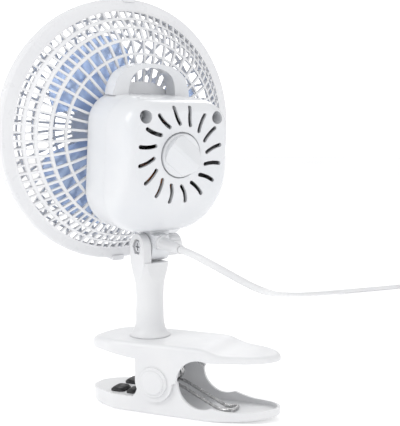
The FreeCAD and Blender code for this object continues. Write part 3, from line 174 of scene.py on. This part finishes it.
# ---------------------------------------------------------------- materials
def new_material(name):
    material = bpy.data.materials.new("look_" + name)
    material.use_nodes = True
    return material, material.node_tree, material.node_tree.nodes["Principled BSDF"]


def noise(tree, scale, detail=3.0, seed=0.0, stretch=(1, 1, 1)):
    coords = tree.nodes.new("ShaderNodeTexCoord")
    mapping = tree.nodes.new("ShaderNodeMapping")
    mapping.inputs["Location"].default_value = (seed, seed * 1.7, seed * 2.3)
    mapping.inputs["Scale"].default_value = stretch
    texture = tree.nodes.new("ShaderNodeTexNoise")
    texture.inputs["Scale"].default_value = scale
    texture.inputs["Detail"].default_value = detail
    tree.links.new(coords.outputs["Object"], mapping.inputs["Vector"])
    tree.links.new(mapping.outputs["Vector"], texture.inputs["Vector"])
    return texture.outputs["Fac"]


def remap(tree, value, low, high, start=0.35, end=0.65):
    node = tree.nodes.new("ShaderNodeMapRange")
    node.inputs["From Min"].default_value = start
    node.inputs["From Max"].default_value = end
    node.inputs["To Min"].default_value = low
    node.inputs["To Max"].default_value = high
    tree.links.new(value, node.inputs["Value"])
    return node.outputs["Result"]


def mix_colours(tree, factor, a, b):
    node = tree.nodes.new("ShaderNodeMix")
    node.data_type = "RGBA"
    tree.links.new(factor, node.inputs["Factor"])
    for socket, colour in ((node.inputs[6], a), (node.inputs[7], b)):
        if isinstance(colour, tuple):
            socket.default_value = (*colour, 1)
        else:
            tree.links.new(colour, socket)
    return node.outputs[2]


def edge_mask(tree, radius):
    """1 near the edges and 0 on the open faces, from how far a rounded normal leans from the face's own."""
    bevel = tree.nodes.new("ShaderNodeBevel")
    bevel.samples = 4
    bevel.inputs["Radius"].default_value = radius
    geometry = tree.nodes.new("ShaderNodeNewGeometry")
    dot = tree.nodes.new("ShaderNodeVectorMath")
    dot.operation = "DOT_PRODUCT"
    tree.links.new(bevel.outputs["Normal"], dot.inputs[0])
    tree.links.new(geometry.outputs["Normal"], dot.inputs[1])
    return bevel.outputs["Normal"], remap(tree, dot.outputs["Value"], 1.0, 0.0, 0.86, 0.995)


def add_bump(tree, shader, height, distance, normal=None, strength=1.0):
    bump = tree.nodes.new("ShaderNodeBump")
    bump.inputs["Distance"].default_value = distance
    bump.inputs["Strength"].default_value = strength
    tree.links.new(height, bump.inputs["Height"])
    if normal is not None:
        tree.links.new(normal, bump.inputs["Normal"])
    tree.links.new(bump.outputs["Normal"], shader.inputs["Normal"])
    return bump.outputs["Normal"]


def plastic(name, base, shade, rough, spark=(900, 0.000008), mottle=40, edge=0.0006, edge_colour=None,
            seed=0.0):
    """Moulded plastic: mottled colour, fine grain in the bump, paler edges. spark is scale and depth."""
    material, tree, shader = new_material(name)
    colour = mix_colours(tree, remap(tree, noise(tree, mottle, 2.0, seed), 0, 1), base, shade)
    gloss = remap(tree, noise(tree, mottle * 3, 4.0, seed + 5), rough[0], rough[1])
    normal = None
    if edge:
        normal, mask = edge_mask(tree, edge)
        colour = mix_colours(tree, mask, colour, edge_colour or tuple(min(1.0, c * 1.05) for c in base))
    tree.links.new(colour, shader.inputs["Base Color"])
    tree.links.new(gloss, shader.inputs["Roughness"])
    add_bump(tree, shader, noise(tree, spark[0], 2.0, seed + 9), spark[1], normal)
    return material


def metal(name, base, shade, rough, scale=300, stretch=(1, 1, 1), depth=0.00002, seed=0.0, edge=0.0003):
    """Bare or plated metal: streaks or a fine grain in colour, roughness and bump."""
    material, tree, shader = new_material(name)
    shader.inputs["Metallic"].default_value = 1.0
    streak = noise(tree, scale, 4.0, seed, stretch)
    tree.links.new(mix_colours(tree, remap(tree, streak, 0, 1), base, shade), shader.inputs["Base Color"])
    tree.links.new(remap(tree, noise(tree, scale * 0.3, 3.0, seed + 3), rough[0], rough[1]),
                   shader.inputs["Roughness"])
    normal, _ = edge_mask(tree, edge)
    add_bump(tree, shader, streak, depth, normal)
    return material


def laminated(name, pitch=0.0005):
    """Edges of stacked steel sheets: dark lines across the motor's axle."""
    material, tree, shader = new_material(name)
    shader.inputs["Metallic"].default_value = 1.0
    coords = tree.nodes.new("ShaderNodeTexCoord")
    along = tree.nodes.new("ShaderNodeVectorMath")
    along.operation = "DOT_PRODUCT"
    axis = head_point(1, 0, 0) - head_point(0, 0, 0)
    along.inputs[1].default_value = axis
    sine = tree.nodes.new("ShaderNodeMath")
    sine.operation = "SINE"
    scale = tree.nodes.new("ShaderNodeMath")
    scale.operation = "MULTIPLY"
    scale.inputs[1].default_value = 2 * math.pi / pitch
    tree.links.new(coords.outputs["Object"], along.inputs[0])
    tree.links.new(along.outputs["Value"], scale.inputs[0])
    tree.links.new(scale.outputs["Value"], sine.inputs[0])
    lines = remap(tree, sine.outputs["Value"], 0, 1, -0.6, 0.9)
    colour = mix_colours(tree, lines, (0.10, 0.10, 0.11), (0.46, 0.46, 0.48))
    tree.links.new(colour, shader.inputs["Base Color"])
    tree.links.new(remap(tree, noise(tree, 200), 0.3, 0.5), shader.inputs["Roughness"])
    add_bump(tree, shader, lines, 0.0001)
    return material


def make_materials():
    white = (0.735, 0.745, 0.765)
    return {
        "white_clip": plastic("white_clip", (0.745, 0.75, 0.76), (0.72, 0.725, 0.74),
                              (0.30, 0.42), (700, 0.00001), edge=0),
        "white_stem": plastic("white_stem", (0.735, 0.74, 0.75), (0.71, 0.715, 0.73),
                              (0.30, 0.42), edge=0, seed=2),
        "white_housing": plastic("white_housing", white, (0.71, 0.725, 0.75),
                                 (0.20, 0.27), (800, 0.000006), seed=3),
        "white_guard": plastic("white_guard", (0.77, 0.775, 0.79), (0.745, 0.75, 0.77), (0.26, 0.38),
                               edge=0.0004, seed=4),
        "white_dial": plastic("white_dial", white, (0.70, 0.715, 0.74), (0.16, 0.26), seed=5),
        "blue_blade": blade_plastic("blue_blade"),
        "black_pad": plastic("black_pad", (0.012, 0.012, 0.014), (0.03, 0.03, 0.032),
                             (0.5, 0.75), (1400, 0.00008), mottle=120, edge_colour=(0.06, 0.06, 0.065),
                             seed=6),
        "plated_steel": metal("plated_steel", (0.66, 0.67, 0.69), (0.48, 0.49, 0.51), (0.16, 0.34), seed=7),
        "spring_steel": metal("spring_steel", (0.62, 0.62, 0.62), (0.40, 0.40, 0.405),
                              (0.20, 0.38), 500, seed=8),
        "dark_washer": plastic("dark_washer", (0.03, 0.03, 0.03), (0.05, 0.05, 0.05), (0.5, 0.7), seed=9),
        "lamination_steel": laminated("lamination_steel"),
        "copper_strap": metal("copper_strap", (0.80, 0.42, 0.27), (0.45, 0.20, 0.12), (0.25, 0.45), seed=10),
        "winding_wire": metal("winding_wire", (0.62, 0.25, 0.10), (0.35, 0.12, 0.05), (0.22, 0.4), 2500,
                              (1, 1, 0.1), 0.0002, seed=11),
        "bobbin_nylon": plastic("bobbin_nylon", (0.74, 0.71, 0.60), (0.66, 0.63, 0.52), (0.4, 0.55), seed=12),
        "bearing_bronze": metal("bearing_bronze", (0.62, 0.44, 0.22), (0.38, 0.26, 0.13),
                                (0.35, 0.55), 900, seed=13),
        "rotor_alloy": metal("rotor_alloy", (0.68, 0.69, 0.70), (0.50, 0.51, 0.52),
                             (0.25, 0.4), 600, seed=14),
        "switch_phenolic": plastic("switch_phenolic", (0.05, 0.035, 0.028), (0.09, 0.06, 0.045),
                                   (0.35, 0.5), seed=15),
        "lead_insulation": plastic("lead_insulation", (0.82, 0.82, 0.79), (0.74, 0.74, 0.71),
                                   (0.3, 0.45), seed=16),
        "cord_jacket": plastic("cord_jacket", (0.74, 0.745, 0.755), (0.71, 0.715, 0.73),
                               (0.30, 0.42), (500, 0.00006), edge=0, seed=17),
        "plug_brass": metal("plug_brass", (0.80, 0.62, 0.30), (0.60, 0.44, 0.20), (0.2, 0.35), seed=18),
        "tie_plastic": plastic("tie_plastic", (0.80, 0.80, 0.80), (0.72, 0.72, 0.72), (0.4, 0.55), seed=19),
    }


def blade_plastic(name):
    """Light blue see-through moulding, paler where the flow lines of the mould run."""
    material, tree, shader = new_material(name)
    flow = remap(tree, noise(tree, 60, 2.0, 21, (1, 0.25, 1)), 0, 1)
    colour = mix_colours(tree, flow, (0.50, 0.65, 0.95), (0.60, 0.73, 0.97))
    normal, mask = edge_mask(tree, 0.0005)
    tree.links.new(mix_colours(tree, mask, colour, (0.66, 0.78, 0.98)), shader.inputs["Base Color"])
    tree.links.new(remap(tree, noise(tree, 150, 3.0, 22), 0.12, 0.24), shader.inputs["Roughness"])
    shader.inputs["Transmission Weight"].default_value = 0.55
    shader.inputs["IOR"].default_value = 1.46
    add_bump(tree, shader, noise(tree, 700, 2.0, 23), 0.00002, normal)
    return material


# ---------------------------------------------------------------- meshes
def link(mesh, name, slot):
    piece = bpy.data.objects.new(name, mesh)
    bpy.context.scene.collection.objects.link(piece)
    mesh.materials.clear()
    mesh.materials.append(MATERIALS[slot])
    return piece


def nurbs_points(points, name):
    """Points along the smooth NURBS spline that has these control points."""
    data = bpy.data.curves.new(name, "CURVE")
    data.dimensions = "3D"
    data.resolution_u = 8
    spline = data.splines.new("NURBS")
    spline.points.add(len(points) - 1)
    for point, at in zip(spline.points, points):
        point.co = (*at, 1)
    spline.order_u = 3
    spline.use_endpoint_u = True
    holder = bpy.data.objects.new(name, data)
    bpy.context.scene.collection.objects.link(holder)
    bpy.context.view_layer.update()
    evaluated = holder.evaluated_get(bpy.context.evaluated_depsgraph_get())
    line = bpy.data.meshes.new_from_object(evaluated)
    found = [v.co.copy() for v in line.vertices]
    bpy.data.objects.remove(holder)
    bpy.data.meshes.remove(line)
    return found


def tube(points, radii, name, sides=16, caps=True):
    """Closed tube along the points; radii is one radius or one for each point."""
    radii = [radii] * len(points) if isinstance(radii, float) else radii
    mesh = bpy.data.meshes.new(name)
    bm = bmesh.new()
    tangent = (points[1] - points[0]).normalized()
    side = tangent.orthogonal().normalized()
    rings = []
    for i, at in enumerate(points):
        ahead = points[min(i + 1, len(points) - 1)] - points[max(i - 1, 0)]
        new = ahead.normalized()
        side = (tangent.rotation_difference(new) @ side).normalized()
        tangent = new
        side = (side - tangent * side.dot(tangent)).normalized()
        other = tangent.cross(side)
        ring = [bm.verts.new(at + radii[i] * (math.cos(a) * side + math.sin(a) * other))
                for a in (2 * math.pi * k / sides for k in range(sides))]
        rings.append(ring)
    for low, high in zip(rings, rings[1:]):
        for k in range(sides):
            bm.faces.new((low[k], low[(k + 1) % sides], high[(k + 1) % sides], high[k]))
    if caps:
        bm.faces.new(list(reversed(rings[0])))
        bm.faces.new(rings[-1])
    bmesh.ops.recalc_face_normals(bm, faces=bm.faces)
    bm.to_mesh(mesh)
    bm.free()
    mesh.shade_smooth()
    mesh.set_sharp_from_angle(angle=math.radians(50))
    return mesh


# ---------------------------------------------------------------- cord
def coil_points():
    points = []
    total = len(COIL_TURNS) * TURN_POINTS
    for i in range(1, total):
        turn, step = divmod(i, TURN_POINTS)
        share = step / TURN_POINTS
        r, z = COIL_TURNS[turn]
        if turn + 1 < len(COIL_TURNS) and share > 0.7:
            rise = (share - 0.7) / 0.3
            r += (COIL_TURNS[turn + 1][0] - r) * rise
            z += (COIL_TURNS[turn + 1][1] - z) * rise
        if turn + 1 == len(COIL_TURNS) and share > 0.75:
            z += 4.0 * (share - 0.75) / 0.25
        r += 0.35 * math.sin(1.7 * turn + 2.1 * i)
        a = math.radians(COIL_START - 360 * i / TURN_POINTS)
        points.append(COIL_AT + Vector((r * 1.012 * math.cos(a), r * 1.012 * math.sin(a), z)) * MM)
    return points


def make_cord():
    route = [Vector(p) for p in ROUTE] + coil_points() + [COIL_AT + Vector(p) * MM for p in TAIL]
    line = nurbs_points(route, "cord_line")
    length = sum((b - a).length for a, b in zip(line, line[1:]))
    cord = link(tube(line, CORD_R, "power_cord"), "power_cord", "cord_jacket")
    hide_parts("power_cord_lead", "power_cord_coil", "power_cord_tail")
    print("cord length", round(length, 4))
    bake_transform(cord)


# ---------------------------------------------------------------- torsion spring
def make_spring():
    """One bent wire: a leg under the upper grip, a coil, a loop on the lower grip, the other coil and leg."""
    near, far = 5.2, 11.8                       # lower and upper legs, from the middle
    first_turn, turned = 90, 900                # degrees round the pin
    half = [Vector((43, far, 46.1)), Vector((20, far, 32.2))]
    steps = 45
    for i in range(steps + 1):
        t = i / steps
        a = math.radians(first_turn + turned * t)
        turn = Vector((SPRING_R * math.cos(a), far + (near - far) * t, SPRING_R * math.sin(a)))
        half.append(HINGE_AT + turn)
    half += [Vector((24, near, 18.3)), Vector((30, near, 15.9)), Vector((54, near, 4.9)),
             Vector((57, near, 3.8)), Vector((60, near, 3.9)), Vector((64.5, near, 4.5)),
             Vector((66.0, near - 0.6, 4.65)), Vector((66.5, near - 2.0, 4.65))]
    other = [Vector((p.x, -p.y, p.z)) for p in reversed(half)]
    line = [STEM_AT + p * MM for p in half + other]
    spring = link(tube(line, SPRING_WIRE_R, "torsion_spring", 12), "torsion_spring", "spring_steel")
    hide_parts("clip_torsion_spring")
    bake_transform(spring)


# ---------------------------------------------------------------- rear guard's close ribs
def make_close_ribs():
    """A second rib in the middle of each opening of the rear guard's outer wall."""
    half_w = 0.75
    # the ribs' outer and inner faces: mm in front of the plate, and radius
    outside = [(4.1, 67.2), (10.1, 75.0), (14.6, 79.0), (19.6, 82.8), (23.6, 87.5), (24.6, 92.6)]
    inside = [(5.8, 66.0), (11.3, 73.5), (16.0, 77.5), (21.2, 81.3), (25.5, 86.7), (26.2, 92.4)]
    bm = bmesh.new()
    for k in range(GUARD_CELLS):
        a = 2 * math.pi * (k + 0.5) / GUARD_CELLS
        out = Vector((0, math.cos(a), math.sin(a)))
        across = Vector((0, -math.sin(a), math.cos(a)))
        rings = []
        for (x0, r0), (x1, r1) in zip(outside, inside):
            corners = [(x0, r0, -half_w), (x0, r0, half_w), (x1, r1, half_w * 0.8), (x1, r1, -half_w * 0.8)]
            ring = []
            for x, r, w in corners:
                at = Vector((GUARD_BACK_X - x, 0, AXLE_Z)) + out * r + across * w
                ring.append(bm.verts.new(head_point(*(at * MM))))
            rings.append(ring)
        for low, high in zip(rings, rings[1:]):
            for i in range(4):
                bm.faces.new((low[i], low[(i + 1) % 4], high[(i + 1) % 4], high[i]))
        bm.faces.new(list(reversed(rings[0])))
        bm.faces.new(rings[-1])
    bmesh.ops.recalc_face_normals(bm, faces=bm.faces)
    mesh = bpy.data.meshes.new("rear_guard_close_ribs")
    bm.to_mesh(mesh)
    bm.free()
    ribs = link(mesh, "rear_guard_close_ribs", "white_guard")
    rounded = ribs.modifiers.new("rounded", "BEVEL")
    rounded.width = 0.25 * MM
    rounded.segments = 2
    rounded.limit_method = "ANGLE"
    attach(ribs, "head")


# ---------------------------------------------------------------- frame nodes
def finish_nodes():
    """Every CAD node gets its slot's procedural material."""
    slots = {row["node"]: row["material_slot"] for row in frame["record"]["subparts"]}
    for name, node in NODES.items():
        node.data.materials.clear()
        node.data.materials.append(MATERIALS[slots[name]])


# ---------------------------------------------------------------- build
MATERIALS = make_materials()
make_camera()
make_floor()
make_world(0.84)
make_light("key", (-1.1, -1.2, 1.5), (0, 0, 0.15), 1.1, 12)
make_light("fill", (1.7, -0.6, 0.7), (0, 0, 0.15), 1.4, 4)
make_light("back", (-0.6, 1.6, 1.3), (0, 0, 0.2), 1.0, 8)
make_backdrop(1.05)
bpy.context.scene.view_settings.view_transform = "Standard"
finish_nodes()
make_cord()
make_spring()
make_close_ribs()
